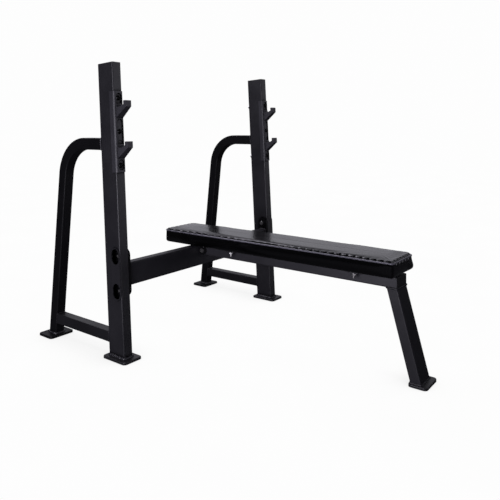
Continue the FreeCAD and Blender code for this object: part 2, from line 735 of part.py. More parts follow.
def pad_fasteners():
    seat = PAD_BOTTOM - PAD_BRACKET_SIZE[2] - M10["thick"]
    bolt = carriage_bolt(M10, pad_board_top() - PAD_BOLT_TIP)
    lock = turned(nut(M10), X_AXIS, 180)
    places = pad_bolt_places()
    return {
        "pad_bolts": [moved(bolt, x, y, pad_board_top()) for x, y in places],
        "pad_washers": [moved(washer(M10), x, y, seat) for x, y in places],
        "pad_nuts": [moved(lock, x, y, seat) for x, y in places],
    }


# Writing the pieces ---------------------------------------------------------------------------
def write(node, pieces):
    """One file per node; a group of like pieces is a compound of separate solids."""
    shape = pieces[0] if len(pieces) == 1 else Part.makeCompound(pieces)
    shape.exportStep(f"parts/{node}.step")


def both_sides(pieces):
    return pieces + [mirrored(piece) for piece in pieces]


def build():
    os.makedirs("parts", exist_ok=True)
    paired = {
        "upright": upright(),
        "upright_cap": upright_cap(),
        "rear_strut": rear_strut(),
        "lower_rail": lower_rail(),
        "front_foot": foot_plate(POST_X, FRONT_FOOT),
        "rear_foot": foot_plate(POST_X, REAR_FOOT),
        "bar_catch": bar_catch(),
        "beam_flange": beam_flange(),
        "backing_plate": backing_plate(),
    }
    for name, shape in paired.items():
        write(f"left_{name}", [shape])
        write(f"right_{name}", [mirrored(shape)])

    write("catch_bolts", both_sides(catch_bolts()))
    write("catch_screws", both_sides(catch_screws()))
    write("catch_washers", both_sides(catch_washers()))
    write("catch_nuts", both_sides(catch_nuts()))
    for name, pieces in joint_bolts().items():
        write(name, both_sides(pieces))

    write("cross_beam", [cross_beam()])
    write("spine_bracket", [spine_bracket()])
    write("bench_spine", [bench_spine()])
    write("spine_end_cap", [spine_end_cap()])
    for name, pieces in spine_fasteners().items():
        write(name, pieces)

    write("front_leg", [front_leg()])
    write("leg_foot", [foot_plate(0, LEG_FOOT)])

    write("head_pad_bracket", [pad_bracket(PAD_BRACKET_Y[0])])
    write("foot_pad_bracket", [pad_bracket(PAD_BRACKET_Y[1])])
    write("pad_board", [pad_board()])
    write("pad_foam", [pad_foam()])
    write("pad_cover", [pad_cover()])
    for name, pieces in pad_fasteners().items():
        write(name, pieces)


build()
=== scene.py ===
import json
import math
import random

import bmesh
import bpy
from mathutils import Matrix, Vector, noise
from mathutils.bvhtree import BVHTree


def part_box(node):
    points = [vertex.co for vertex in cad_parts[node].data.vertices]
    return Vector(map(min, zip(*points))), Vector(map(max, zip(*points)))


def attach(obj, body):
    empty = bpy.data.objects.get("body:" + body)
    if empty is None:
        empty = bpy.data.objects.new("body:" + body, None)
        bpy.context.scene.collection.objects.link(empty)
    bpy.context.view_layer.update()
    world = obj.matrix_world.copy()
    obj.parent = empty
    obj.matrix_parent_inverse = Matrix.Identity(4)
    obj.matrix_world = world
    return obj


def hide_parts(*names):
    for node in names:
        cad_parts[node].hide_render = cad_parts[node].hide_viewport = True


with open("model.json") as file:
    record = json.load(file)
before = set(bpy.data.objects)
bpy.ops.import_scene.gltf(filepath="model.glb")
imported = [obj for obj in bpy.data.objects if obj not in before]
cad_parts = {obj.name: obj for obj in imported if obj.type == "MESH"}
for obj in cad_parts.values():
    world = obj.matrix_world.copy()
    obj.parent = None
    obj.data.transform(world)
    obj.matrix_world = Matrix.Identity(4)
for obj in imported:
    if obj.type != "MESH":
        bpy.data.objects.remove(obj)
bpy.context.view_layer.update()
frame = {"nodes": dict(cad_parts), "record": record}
nodes = frame["nodes"]

POST_LEAN = math.radians(3.1)          # the uprights lean toward the head end
SIDES = ("left", "right")


# ---------------------------------------------------------------- small helpers
def new_object(name, mesh):
    piece = bpy.data.objects.new(name, mesh)
    bpy.context.scene.collection.objects.link(piece)
    return piece


def smooth(mesh):
    mesh.polygons.foreach_set("use_smooth", [True] * len(mesh.polygons))
    mesh.update()


def object_from_bmesh(name, bm):
    bmesh.ops.recalc_face_normals(bm, faces=bm.faces)
    mesh = bpy.data.meshes.new(name)
    bm.to_mesh(mesh)
    bm.free()
    smooth(mesh)
    return new_object(name, mesh)


def close_tube(bm, rings):
    """Joins equal rings of vertices, the last to the first, into a closed tube."""
    for index, ring in enumerate(rings):
        following = rings[(index + 1) % len(rings)]
        for corner in range(len(ring)):
            nxt = (corner + 1) % len(ring)
            bm.faces.new((ring[corner], ring[nxt], following[nxt], following[corner]))


def clamp(value, low=0.0, high=1.0):
    return max(low, min(high, value))


def ease(value):
    """0 to 1 with soft ends."""
    value = clamp(value)
    return value * value * (3 - 2 * value)


def bump(distance, width):
    """1 at distance 0, falling smoothly to 0 at the given width."""
    return 1 - ease(abs(distance) / width)


# ---------------------------------------------------------------- materials
class Nodes:
    """A thin wrapper that adds shader nodes and links in one call."""

    def __init__(self, name):
        self.material = bpy.data.materials.new(name)
        self.material.use_nodes = True
        self.tree = self.material.node_tree
        self.shader = self.tree.nodes["Principled BSDF"]
        self.output = self.tree.nodes["Material Output"]

    def add(self, kind, settings=None, **inputs):
        node = self.tree.nodes.new(kind)
        for key, value in (settings or {}).items():
            setattr(node, key, value)
        for key, value in inputs.items():
            self.put(node.inputs[key.replace("_", " ")], value)
        return node

    def put(self, socket, value):
        if isinstance(value, bpy.types.NodeSocket):
            self.tree.links.new(value, socket)
        else:
            socket.default_value = value

    def set(self, **inputs):
        for key, value in inputs.items():
            self.put(self.shader.inputs[key.replace("_", " ")], value)

    def place(self, scale=(1.0, 1.0, 1.0)):
        """Object coordinates, which are metres in the bench's frame."""
        coordinates = self.add("ShaderNodeTexCoord").outputs["Object"]
        mapping = self.add("ShaderNodeMapping", Vector=coordinates, Scale=scale)
        return mapping.outputs["Vector"]

    def noise(self, vector, scale, detail=3.0, rough=0.55):
        node = self.add(
            "ShaderNodeTexNoise", Vector=vector, Scale=scale, Detail=detail, Roughness=rough
        )
        return node.outputs["Fac"]

    def ramp(self, factor, low, high, value_low, value_high):
        node = self.add("ShaderNodeMapRange", Value=factor)
        node.inputs["From Min"].default_value = low
        node.inputs["From Max"].default_value = high
        self.put(node.inputs["To Min"], value_low)
        self.put(node.inputs["To Max"], value_high)
        return node.outputs["Result"]

    def math(self, operation, first, second=0.0):
        node = self.add("ShaderNodeMath", {"operation": operation})
        self.put(node.inputs[0], first)
        self.put(node.inputs[1], second)
        return node.outputs[0]

    def mix(self, factor, first, second):
        node = self.add("ShaderNodeMix", {"data_type": "RGBA"})
        self.put(node.inputs["Factor"], factor)
        self.put(node.inputs["A"], first)
        self.put(node.inputs["B"], second)
        return node.outputs["Result"]

    def bump(self, height, strength, distance, normal=None):
        node = self.add("ShaderNodeBump", Strength=strength, Distance=distance, Height=height)
        if normal is not None:
            self.put(node.inputs["Normal"], normal)
        return node.outputs["Normal"]


COAT_TINT = (1.0, 0.97, 1.15)          # a black that leans a little to violet
NEUTRAL = (1.0, 0.98, 0.95)
# painted shade: the colour and specular level that hollows are darkened to
SHADE_GREY = 0.001                    # what a coat darkens to in a hollow
SHADE_SPECULAR = 0.04
EDGE_RADIUS = 0.0022                   # width of the painted edge highlights
EDGE_TURN = (0.995, 0.90)              # cosines where an edge starts to show and is full


def grey(level, tint=COAT_TINT):
    return (level * tint[0], level * tint[1], level * tint[2], 1.0)


def edge_mask(n):
    """1 where the surface turns sharply, 0 on flats, from the difference with a rounded normal."""
    rounded = n.add("ShaderNodeBevel", {"samples": 4}, Radius=EDGE_RADIUS).outputs["Normal"]
    true_normal = n.add("ShaderNodeNewGeometry").outputs["Normal"]
    node = n.add("ShaderNodeVectorMath", {"operation": "DOT_PRODUCT"})
    n.put(node.inputs[0], rounded)
    n.put(node.inputs[1], true_normal)
    return n.ramp(node.outputs["Value"], *EDGE_TURN, 0.0, 1.0)


def powder_coat(
    name, level, rough=0.42, specular=0.5, peel=0.00012, edge=2.2, shade_depth=0.0, front=None
):
    """Black powder coat: fine orange peel, faint mottling, sharp edges lightened by a painted
    highlight.

    With a shade depth, painted shade darkens the coat and its gloss in hollows about that deep.
    With a front value, faces turned to -Y have that specular level instead, as painted shade from
    the pad above.
    """
    n = Nodes(name)
    place = n.place()
    mottle = n.noise(place, 9.0, 4.0)
    fine = n.noise(place, 620.0, 2.0)
    cells = n.add(
        "ShaderNodeTexVoronoi", {"feature": "SMOOTH_F1"}, Vector=place, Scale=430.0
    ).outputs["Distance"]
    scuffs = n.ramp(n.noise(n.place((1.0, 1.0, 0.35)), 55.0, 5.0, 0.7), 0.62, 0.75, 0.0, 1.0)
    tone = n.mix(mottle, grey(level * 0.75), grey(level * 1.25))
    # painted highlight: sharp edges are mixed towards a lighter grey
    edge_highlight = n.mix(n.math("MULTIPLY", edge_mask(n), 0.5), tone, grey(level * edge))
    colour = n.mix(n.math("MULTIPLY", scuffs, 0.18), edge_highlight, grey(level * 2.0, NEUTRAL))
    surface = n.math("ADD", n.math("MULTIPLY", fine, 0.5), cells)
    # painted shade: where ambient occlusion finds a hollow, the coat and its gloss are darkened
    if shade_depth > 0:
        openness = n.add("ShaderNodeAmbientOcclusion", {"samples": 6}, Distance=shade_depth)
        painted_shade = n.ramp(openness.outputs["AO"], 0.93, 0.66, 0.0, 1.0)
        colour = n.mix(painted_shade, colour, grey(SHADE_GREY))
        specular = n.ramp(painted_shade, 0.0, 1.0, specular, SHADE_SPECULAR)
    # painted shade: faces turned to -Y lose their gloss, as if the pad above shaded them
    if front is not None:
        normal = n.add("ShaderNodeNewGeometry").outputs["Normal"]
        turned = n.add("ShaderNodeSeparateXYZ", Vector=normal).outputs["Y"]
        specular = n.ramp(turned, -0.92, -0.60, front, specular)
    n.set(
        Base_Color=colour,
        Roughness=n.ramp(mottle, 0.3, 0.7, rough - 0.05, rough + 0.06),
        Specular_IOR_Level=specular,
        Normal=n.bump(surface, 0.5, peel),
    )
    return n.material


def moulded_plastic(name, level, specular=0.5):
    """Finely grained black plastic with a cloudy gloss."""
    n = Nodes(name)
    place = n.place()
    grain = n.noise(place, 900.0, 2.0)
    cloud = n.noise(place, 30.0, 3.0)
    n.set(
        Base_Color=n.mix(cloud, grey(level * 0.8), grey(level * 1.3)),
        Roughness=n.ramp(cloud, 0.3, 0.7, 0.45, 0.6),
        Specular_IOR_Level=specular,
        Normal=n.bump(grain, 0.35, 0.0001),
    )
    return n.material


def plated_steel(name, level, rough, tint):
    """Zinc or black-oxide fasteners: metal with fine turning marks and dull patches."""
    n = Nodes(name)
    patches = n.noise(n.place(), 210.0, 4.0)
    lines = n.noise(n.place((1.0, 1.0, 9.0)), 900.0, 2.0)
    n.set(
        Base_Color=n.mix(patches, grey(level * 0.7, tint), grey(level, tint)),
        Metallic=1.0,
        Roughness=n.ramp(patches, 0.3, 0.75, rough, rough + 0.18),
        Normal=n.bump(lines, 0.25, 0.00008),
    )
    return n.material


def vinyl(name, level, rough):
    """Grained upholstery vinyl: pebbled cells, fine pores, soft gloss and faint streaks."""
    n = Nodes(name)
    place = n.place()
    wander = n.add("ShaderNodeTexNoise", Vector=place, Scale=260.0, Detail=2.0).outputs["Color"]
    bent = n.add("ShaderNodeMix", {"data_type": "VECTOR"})
    n.put(bent.inputs["Factor"], 0.0012)
    n.put(bent.inputs["A"], place)
    n.put(bent.inputs["B"], wander)
    bent = bent.outputs["Result"]
    cells = n.add(
        "ShaderNodeTexVoronoi", {"feature": "DISTANCE_TO_EDGE"}, Vector=bent, Scale=620.0
    ).outputs["Distance"]
    pebble = n.ramp(cells, 0.0, 0.25, 0.0, 1.0)
    broad = n.noise(n.place((2.2, 0.6, 2.2)), 7.0, 3.0)
    surface = n.math("ADD", pebble, n.math("MULTIPLY", n.noise(place, 1700.0, 2.0), 0.3))
    creases = n.noise(n.place((1.0, 0.55, 1.0)), 42.0, 3.0)
    grain = n.bump(surface, 0.30, 0.00010)
    n.set(
        Base_Color=n.mix(broad, grey(level * 0.8), grey(level * 1.3)),
        Roughness=n.ramp(broad, 0.3, 0.7, rough - 0.03, rough + 0.05),
        Specular_IOR_Level=0.42,
        Coat_Weight=0.25,
        Coat_Roughness=0.09,
        Normal=n.bump(creases, 0.22, 0.0012, grain),
    )
    return n.material


def thread(name, level):
    """Twisted sewing thread."""
    n = Nodes(name)
    place = n.place()
    twist = n.add(
        "ShaderNodeTexWave", {"bands_direction": "DIAGONAL"},
        Vector=place, Scale=700.0, Distortion=1.0,
    ).outputs["Fac"]
    n.set(
        Base_Color=n.mix(twist, grey(level * 0.6), grey(level * 1.5)),
        Roughness=0.5,
        Normal=n.bump(twist, 0.6, 0.0002),
    )
    return n.material


def plywood(name):
    """Layered board edge with darker fibres."""
    n = Nodes(name)
    rings = n.add(
        "ShaderNodeTexWave", {"bands_direction": "Z"},
        Vector=n.place((0.12, 0.02, 1.0)), Scale=130.0, Distortion=6.0, Detail=3.0,
    ).outputs["Fac"]
    fibres = n.noise(n.place((9.0, 0.4, 3.0)), 80.0, 4.0)
    tone = n.mix(rings, (0.30, 0.19, 0.10, 1.0), (0.50, 0.35, 0.20, 1.0))
    n.set(
        Base_Color=n.mix(n.math("MULTIPLY", fibres, 0.5), tone, (0.22, 0.13, 0.07, 1.0)),
        Roughness=0.7,
        Normal=n.bump(fibres, 0.4, 0.0004),
    )
    return n.material


def dress(material, *names):
    for name in names:
        piece = nodes[name] if name in nodes else bpy.data.objects[name]
        piece.data.materials.clear()
        piece.data.materials.append(material)


# one black powder coat; most copies below are set lighter or darker, or given painted shade, piece
# by piece
COAT = powder_coat("powder_coat", 0.0135, edge=1.8)
# struts and rear feet: darker, duller copy, painted shade
COAT_STRUT = powder_coat("powder_coat_struts", 0.0040, rough=0.46, specular=0.18)
# beam flanges and spine bracket: near-black copy, painted shade round their bolts
COAT_SHADED = powder_coat("powder_coat_flanges_painted_shade", 0.0030, rough=0.46, specular=0.15)
# beam: lighter copy, painted light
COAT_BEAM = powder_coat("powder_coat_beam", 0.0185, specular=0.32, edge=1.8)
# rails: darker copy, painted shade
COAT_RAIL = powder_coat("powder_coat_rails", 0.0085, specular=0.40, edge=1.8)
# spine: lighter copy, painted light
COAT_SPINE = powder_coat("powder_coat_spine", 0.0205, edge=1.8)
COAT_FOOT = powder_coat("powder_coat_feet", 0.0110, edge=2.4)
# posts: painted shade in their hollows
COAT_POST = powder_coat("powder_coat_posts", 0.0135, edge=1.8, shade_depth=0.022)
# leg: a little lighter, with painted shade on its -Y faces
COAT_LEG = powder_coat("powder_coat_leg", 0.0145, specular=0.40, edge=1.6, front=0.05)
# catch: lighter copy, painted light, with painted shade in its pockets
COAT_CATCH = powder_coat(
    "powder_coat_catch", 0.0270, rough=0.46, peel=0.0002, edge=2.0, shade_depth=0.018
)
# weld beads: lighter, glossier copy, a painted sheen
WELD_COAT = powder_coat("powder_coat_weld", 0.0180, rough=0.30, peel=0.0004)
PLASTIC = moulded_plastic("moulded_plastic", 0.008)
# darker, duller copy of the plastic: painted shade on the spine's end cap under the pad
PLASTIC_SHADED = moulded_plastic("moulded_plastic_painted_shade", 0.005, specular=0.22)
ZINC = plated_steel("zinc_plate", 0.62, 0.22, (1.0, 0.99, 0.95))
OXIDE = plated_steel("black_oxide", 0.035, 0.24, (1.0, 1.0, 1.05))
VINYL = vinyl("black_vinyl", 0.0045, rough=0.20)
# the same black vinyl made far lighter: painted highlight along the piping
VINYL_HIGHLIGHT = vinyl("black_vinyl_painted_highlight", 0.1000, rough=0.24)
THREAD = thread("sewing_thread", 0.012)
PLYWOOD = plywood("plywood")

BY_SLOT = {
    "frame_coat": COAT,
    "foot_coat": COAT_FOOT,
    "catch_coat": COAT_CATCH,
    "cap_plastic": PLASTIC,
    "zinc_fastener": ZINC,
    "dark_fastener": OXIDE,
    "pad_board": PLYWOOD,
    "pad_vinyl": VINYL,
    "pad_foam": VINYL,
}
for entry in frame["record"]["subparts"]:
    dress(BY_SLOT[entry["material_slot"]], entry["node"])
for side in SIDES:
    dress(COAT_POST, f"{side}_upright")
    dress(COAT_STRUT, f"{side}_rear_strut")
    dress(COAT_STRUT, f"{side}_rear_foot")
    dress(COAT_RAIL, f"{side}_lower_rail")
    dress(COAT_SHADED, f"{side}_beam_flange")
dress(COAT_BEAM, "cross_beam")
dress(COAT_SPINE, "bench_spine")
dress(COAT_SHADED, "spine_bracket")
dress(COAT_LEG, "front_leg")
dress(PLASTIC_SHADED, "spine_end_cap")
dress(OXIDE, "spine_bolt_washers")


# ---------------------------------------------------------------- weld beads
def hull_loop(points, flat_axes):
    """Outer loop of near-coplanar points, ordered round their centre in two axes."""
    a, b = flat_axes
    ordered = sorted(set((round(p[a], 6), round(p[b], 6)) for p in points))

    def turn(o, p, q):
        return (p[0] - o[0]) * (q[1] - o[1]) - (p[1] - o[1]) * (q[0] - o[0])

    def half(items):
        chain = []
        for item in items:
            while len(chain) > 1 and turn(chain[-2], chain[-1], item) <= 1e-12:
                chain.pop()
            chain.append(item)
        return chain[:-1]

    outline = half(ordered) + half(ordered[::-1])
    loop = []
    for first, second in outline:
        loop.append(min(points, key=lambda p: (p[a] - first) ** 2 + (p[b] - second) ** 2).copy())
    return loop


def end_loop(node, keep, flat_axes):
    """Outer edge of one end of a tube; keep picks that end's vertices."""
    points = [v.co for v in nodes[node].data.vertices if keep(v.co)]
    return hull_loop(points, flat_axes)


def resampled(loop, step):
    """Closed polyline at an even step."""
    lengths = [(loop[(i + 1) % len(loop)] - loop[i]).length for i in range(len(loop))]
    count = max(8, round(sum(lengths) / step))
    spacing = sum(lengths) / count
    result, index, walked = [], 0, 0.0
    for number in range(count):
        target = number * spacing
        while walked + lengths[index] < target:
            walked += lengths[index]
            index += 1
        start, end = loop[index], loop[(index + 1) % len(loop)]
        result.append(start.lerp(end, (target - walked) / max(lengths[index], 1e-9)))
    return result


def add_bead(bm, loop, radius, seed, ripple=0.0042):
    """A rippled bead that follows a closed loop, half sunk into the corner it fills."""
    rng = random.Random(seed)
    path = resampled(loop, ripple / 3)
    count = len(path)
    centre = sum(path, Vector()) / count
    normal = Vector()
    for index in range(count):
        normal += (path[index] - centre).cross(path[(index + 1) % count] - centre)
    normal.normalize()
    sides = 10
    wobble = [rng.uniform(0.80, 1.16) for _ in range(count // 9 + 2)]
    rings = []
    for index, point in enumerate(path):
        ahead = (path[(index + 1) % count] - path[index - 1]).normalized()
        outward = ahead.cross(normal)
        phase = index % 3 / 3
        size = radius * (0.9 + 0.22 * math.sin(math.pi * phase)) * wobble[index // 9]
        ring = []
        for corner in range(sides):
            angle = 2 * math.pi * corner / sides
            offset = outward * math.cos(angle) * size + normal * math.sin(angle) * size
            ring.append(bm.verts.new(point + offset))
        rings.append(ring)
    close_tube(bm, rings)


WELD_HEAVY = 0.0060                  # bead radii
WELD_PLAIN = 0.0040
WELD_FINE = 0.0026
WELD_FLUSH = 0.0013                  # nearly dressed flat
SAME_PLACE = 0.0004                  # points this near to a face lie on it
BRACKET_INSET = 0.006                # the pad brackets' beads stop short of the spine's corners


def weld_piece(name, beads):
    """One piece of several beads, each given as (loop, radius)."""
    bm = bmesh.new()
    for number, (loop, radius) in enumerate(beads):
        add_bead(bm, loop, radius, f"{name}{number}")
    piece = object_from_bmesh(name, bm)
    piece.data.materials.append(WELD_COAT)
    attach(piece, "root")


def level_loop(node, height):
    return end_loop(node, lambda p: abs(p.z - height) < SAME_PLACE, (0, 1))


def post_depth_of(point):
    """Distance of a point behind the upright's front face, square to it."""
    return point.y * math.cos(POST_LEAN) - point.z * math.sin(POST_LEAN)


def side_frame_welds(side):
    foot_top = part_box(f"{side}_front_foot")[1].z
    strut, rail, post = (f"{side}_{part}" for part in ("rear_strut", "lower_rail", "upright"))
    rear_face = min(post_depth_of(v.co) for v in nodes[strut].data.vertices)
    rail_low, rail_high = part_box(rail)
    rail_middle = (rail_low.y + rail_high.y) / 2
    return [
        (level_loop(post, foot_top), WELD_HEAVY),
        (level_loop(strut, foot_top), WELD_HEAVY),
        (end_loop(strut, lambda p: post_depth_of(p) < rear_face + SAME_PLACE, (0, 2)), WELD_FINE),
        (end_loop(rail, lambda p: p.y < rail_middle, (0, 2)), WELD_FLUSH),
        (end_loop(rail, lambda p: p.y > rail_middle, (0, 2)), WELD_FLUSH),
    ]


for side in SIDES:
    weld_piece(f"{side}_frame_welds", side_frame_welds(side))

beam_low, beam_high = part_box("cross_beam")
weld_piece("beam_welds", [
    (end_loop("cross_beam", lambda p: p.x < beam_low.x + SAME_PLACE, (1, 2)), WELD_FINE),
    (end_loop("cross_beam", lambda p: p.x > beam_high.x - SAME_PLACE, (1, 2)), WELD_FINE),
])
leg_low, leg_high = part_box("front_leg")
weld_piece("leg_welds", [
    (level_loop("front_leg", leg_low.z), WELD_PLAIN),
    (level_loop("front_leg", leg_high.z), WELD_PLAIN),
])
dress(COAT_LEG, "leg_welds")


def rectangle(x0, x1, y0, y1, z):
    return [Vector((x0, y0, z)), Vector((x1, y0, z)), Vector((x1, y1, z)), Vector((x0, y1, z))]


def bracket_loops():
    """Beads where the pad brackets cross the top of the spine."""
    spine_low, spine_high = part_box("bench_spine")
    left, right = spine_low.x + BRACKET_INSET, spine_high.x - BRACKET_INSET
    loops = []
    for node in ("head_pad_bracket", "foot_pad_bracket"):
        low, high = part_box(node)
        loops.append((rectangle(left, right, low.y, high.y, spine_high.z), WELD_FINE))
    return loops


weld_piece("pad_bracket_welds", bracket_loops())


# ---------------------------------------------------------------- the pad
PAD_LOW, PAD_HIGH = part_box("pad_cover")
PAD_CENTRE = (PAD_LOW + PAD_HIGH) / 2
HALF_WIDTH = (PAD_HIGH.x - PAD_LOW.x) / 2
PAD_LENGTH = PAD_HIGH.y - PAD_LOW.y
CORNERS = {"near_foot": 0.013, "far_foot": 0.030, "near_head": 0.027, "far_head": 0.034}
CORNER_SPOTS = [                     # in order round the plan: x, y, radius, first angle
    (PAD_HIGH.x, PAD_LOW.y, CORNERS["far_foot"], -90),
    (PAD_HIGH.x, PAD_HIGH.y, CORNERS["far_head"], 0),
    (PAD_LOW.x, PAD_HIGH.y, CORNERS["near_head"], 90),
    (PAD_LOW.x, PAD_LOW.y, CORNERS["near_foot"], 180),
]
STEP = 0.0065                        # spacing of the pad's grid
FINE_STEP = 0.003                    # spacing along the piping and the stitches
START_INSET = 0.0028                 # the side band starts smaller and swells to size
TOP_SWELL = 0.0042                   # most that the top panel may rise
SIDE_SWELL = 0.0042                  # most that the side band may bulge
TIGHT_CORNER = 0.10                  # the near foot corner is drawn tight this far round
LEAST_SWELL = 0.02                   # share of the swelling left at that corner
TOP_EDGE = 0.0125                    # inset where the top panel turns down into the seam
SEAM_TURN = ((0.0110, 0.0007), (0.0096, 0.0024), (0.0087, 0.0050), (0.0082, 0.0080))
SHELF = ((0.0056, 0.0092), (0.0036, 0.0094))
SHELF_STEP = 0.0012                  # from the shelf down to the side band's first ring
PIPE_RADIUS = 0.0034                 # rolled edge that runs round the top of the pad
PIPE_DEPTH = 0.0090                  # its centre below the top panel
PIPE_GAP = 0.0008                    # from its outer side to the plan outline
PIPE_WAVE = 0.0008                   # it rises and falls this much with the puckers
HEM_ROLL = 0.010
END_PITCH = 0.028                    # pucker spacing across the pad's ends
FOOT_PITCH, HEAD_PITCH = 0.027, 0.046
FAR_CALM = 0.25                      # the far long edge is sewn flatter
HELD_FLOOR = 0.0005                  # the underside stays put while the cover swells,
HELD_DEPTH, HELD_INSET = 0.0110, 0.0100   # and so does the sewn band round the top
SWELL_FRAMES = 20
MOST_SLIDE = 0.0008                  # most that a point may move along the surface
TOP_FACE = 0.7                       # a normal steeper than this belongs to the top panel


def corner_centre(spot):
    """Centre of a plan corner's arc."""
    x, y, radius, _ = spot
    return Vector((
        x + math.copysign(radius, PAD_CENTRE.x - x),
        y + math.copysign(radius, PAD_CENTRE.y - y),
    ))


def plan_outline(step):
    """Rounded rectangle seen from above, as (point, outward normal)."""
    points = []
    for index, spot in enumerate(CORNER_SPOTS):
        centre, radius, start = corner_centre(spot), spot[2], spot[3]
        arc_steps = max(5, round(radius * math.pi / 2 / (step * 0.75)))
        for number in range(arc_steps + 1):
            angle = math.radians(start + 90 * number / arc_steps)
            normal = Vector((math.cos(angle), math.sin(angle)))
            points.append((centre + normal * radius, normal))
        following = CORNER_SPOTS[(index + 1) % 4]
        last, normal = points[-1]
        target = corner_centre(following) + normal * following[2]
        count = max(1, round((target - last).length / step))
        for number in range(1, count):
            points.append((last.lerp(target, number / count), normal))
    return points


def pad_profile():
    """Half section from the middle of the top to the middle of the bottom: (inset, height)."""
    top, bottom = PAD_HIGH.z, PAD_LOW.z
    rings = []
    span = HALF_WIDTH - TOP_EDGE
    inner = round(span / STEP)
    for number in range(inner + 1):
        rings.append((TOP_EDGE + span * (1 - number / inner), top))
    for inset, depth in SEAM_TURN + SHELF:
        rings.append((inset, top - depth))
    side_top, side_bottom = top - SHELF[-1][1] - SHELF_STEP, bottom + HEM_ROLL
    steps = round((side_top - side_bottom) / STEP)
    for number in range(steps + 1):
        rings.append((START_INSET, side_top + (side_bottom - side_top) * number / steps))
    for number in range(1, 5):
        angle = math.radians(90 * number / 4)
        rings.append((
            START_INSET + HEM_ROLL * (1 - math.cos(angle)),
            side_bottom - HEM_ROLL * math.sin(angle),
        ))
    span = HALF_WIDTH - START_INSET - HEM_ROLL
    inner = round(span / (STEP * 2))
    for number in range(1, inner + 1):
        rings.append((START_INSET + HEM_ROLL + span * number / inner, bottom))
    return rings


def spine_point(point):
    """Nearest point on the pad's middle line, where the rings close up."""
    y = clamp(point.y, PAD_LOW.y + HALF_WIDTH, PAD_HIGH.y - HALF_WIDTH)
    return Vector((PAD_CENTRE.x, y))


def build_pad_grid(name):
    """Closed pad mesh whose rings run parallel to its edge."""
    outline = plan_outline(STEP)
    bm = bmesh.new()
    rings = []
    for inset, height in pad_profile():
        ring = []
        for point, normal in outline:
            if inset > TOP_EDGE - 0.0001:
                edge = point - normal * TOP_EDGE
                share = (inset - TOP_EDGE) / (HALF_WIDTH - TOP_EDGE)
                flat = edge.lerp(spine_point(point), share)
            else:
                flat = point - normal * inset
            ring.append(bm.verts.new((flat.x, flat.y, height)))
        rings.append(ring)
    count = len(outline)
    for first, second in zip(rings, rings[1:]):
        for index in range(count):
            nxt = (index + 1) % count
            bm.faces.new((first[index], first[nxt], second[nxt], second[index]))
    bmesh.ops.remove_doubles(bm, verts=bm.verts, dist=0.0002)
    bmesh.ops.dissolve_degenerate(bm, edges=bm.edges, dist=0.0001)
    return object_from_bmesh(name, bm)


def edge_facts(point):
    """Distance in from the plan outline, and the outline's outward normal there."""
    for spot in CORNER_SPOTS:
        centre = corner_centre(spot)
        across = math.copysign(1.0, spot[0] - PAD_CENTRE.x)
        along = math.copysign(1.0, spot[1] - PAD_CENTRE.y)
        dx = (point.x - centre.x) * across
        dy = (point.y - centre.y) * along
        if dx > 0 and dy > 0:
            reach = max(math.hypot(dx, dy), 1e-6)
            return spot[2] - reach, Vector((dx / reach * across, dy / reach * along))
    gaps = (
        (point.x - PAD_LOW.x, Vector((-1.0, 0.0))),
        (PAD_HIGH.x - point.x, Vector((1.0, 0.0))),
        (point.y - PAD_LOW.y, Vector((0.0, -1.0))),
        (PAD_HIGH.y - point.y, Vector((0.0, 1.0))),
    )
    return min(gaps, key=lambda entry: entry[0])


def held(position):
    """1 on the underside and along the sewn seam, 0 where the cover is free to swell."""
    if position.z < PAD_LOW.z + HELD_FLOOR:
        return 1.0
    near_top = position.z > PAD_HIGH.z - HELD_DEPTH
    inset = edge_facts(position)[0]
    if near_top and inset < HELD_INSET:
        return 1.0
    return 0.0


def add_cloth(piece):
    """Cloth under pressure, pinned where the cover is held."""
    group = piece.vertex_groups.new(name="held")
    for vertex in piece.data.vertices:
        weight = held(vertex.co)
        if weight > 0:
            group.add([vertex.index], weight, "REPLACE")
    cloth = piece.modifiers.new("swell", "CLOTH")
    settings = cloth.settings
    settings.quality = 5
    settings.mass = 0.35
    settings.tension_stiffness = 12
    settings.compression_stiffness = 12
    settings.shear_stiffness = 5
    settings.bending_stiffness = 0.6
    settings.use_pressure = True
    settings.uniform_pressure_force = 4.0
    settings.effector_weights.gravity = 0.0
    settings.vertex_group_mass = "held"
    cloth.collision_settings.use_collision = False
    cloth.point_cache.frame_start = 1
    cloth.point_cache.frame_end = SWELL_FRAMES
    return cloth


def blown_up(piece):
    """Where every point of the piece is after a few frames of cloth simulation."""
    cloth = add_cloth(piece)
    scene = bpy.context.scene
    for number in range(1, SWELL_FRAMES + 1):
        scene.frame_set(number)
    graph = bpy.context.evaluated_depsgraph_get()
    moved = [v.co.copy() for v in piece.evaluated_get(graph).data.vertices]
    piece.modifiers.remove(cloth)
    piece.vertex_groups.clear()
    scene.frame_set(1)
    return moved


def swell_limit(position, normal):
    """Most that the cover may move out at a point; next to nothing at the tight corner."""
    limit = TOP_SWELL if abs(normal.z) > TOP_FACE else SIDE_SWELL
    reach = math.hypot(position.x - PAD_LOW.x, position.y - PAD_LOW.y)
    return limit * max(ease(reach / TIGHT_CORNER), LEAST_SWELL)


def swell(piece):
    """Blows the cover up a little from inside, between its seams and its underside."""
    start = [v.co.copy() for v in piece.data.vertices]
    normals = [v.normal.copy() for v in piece.data.vertices]
    moved = blown_up(piece)
    for vertex, before, after, normal in zip(piece.data.vertices, start, moved, normals):
        shift = after - before
        outward = shift.dot(normal)
        slide = shift - normal * outward
        slide *= min(1.0, MOST_SLIDE / max(slide.length, 1e-9))
        limit = swell_limit(before, normal)
        eased = limit * math.tanh(max(outward, 0.0) / limit)
        vertex.co = before + normal * eased + slide
    piece.data.update()


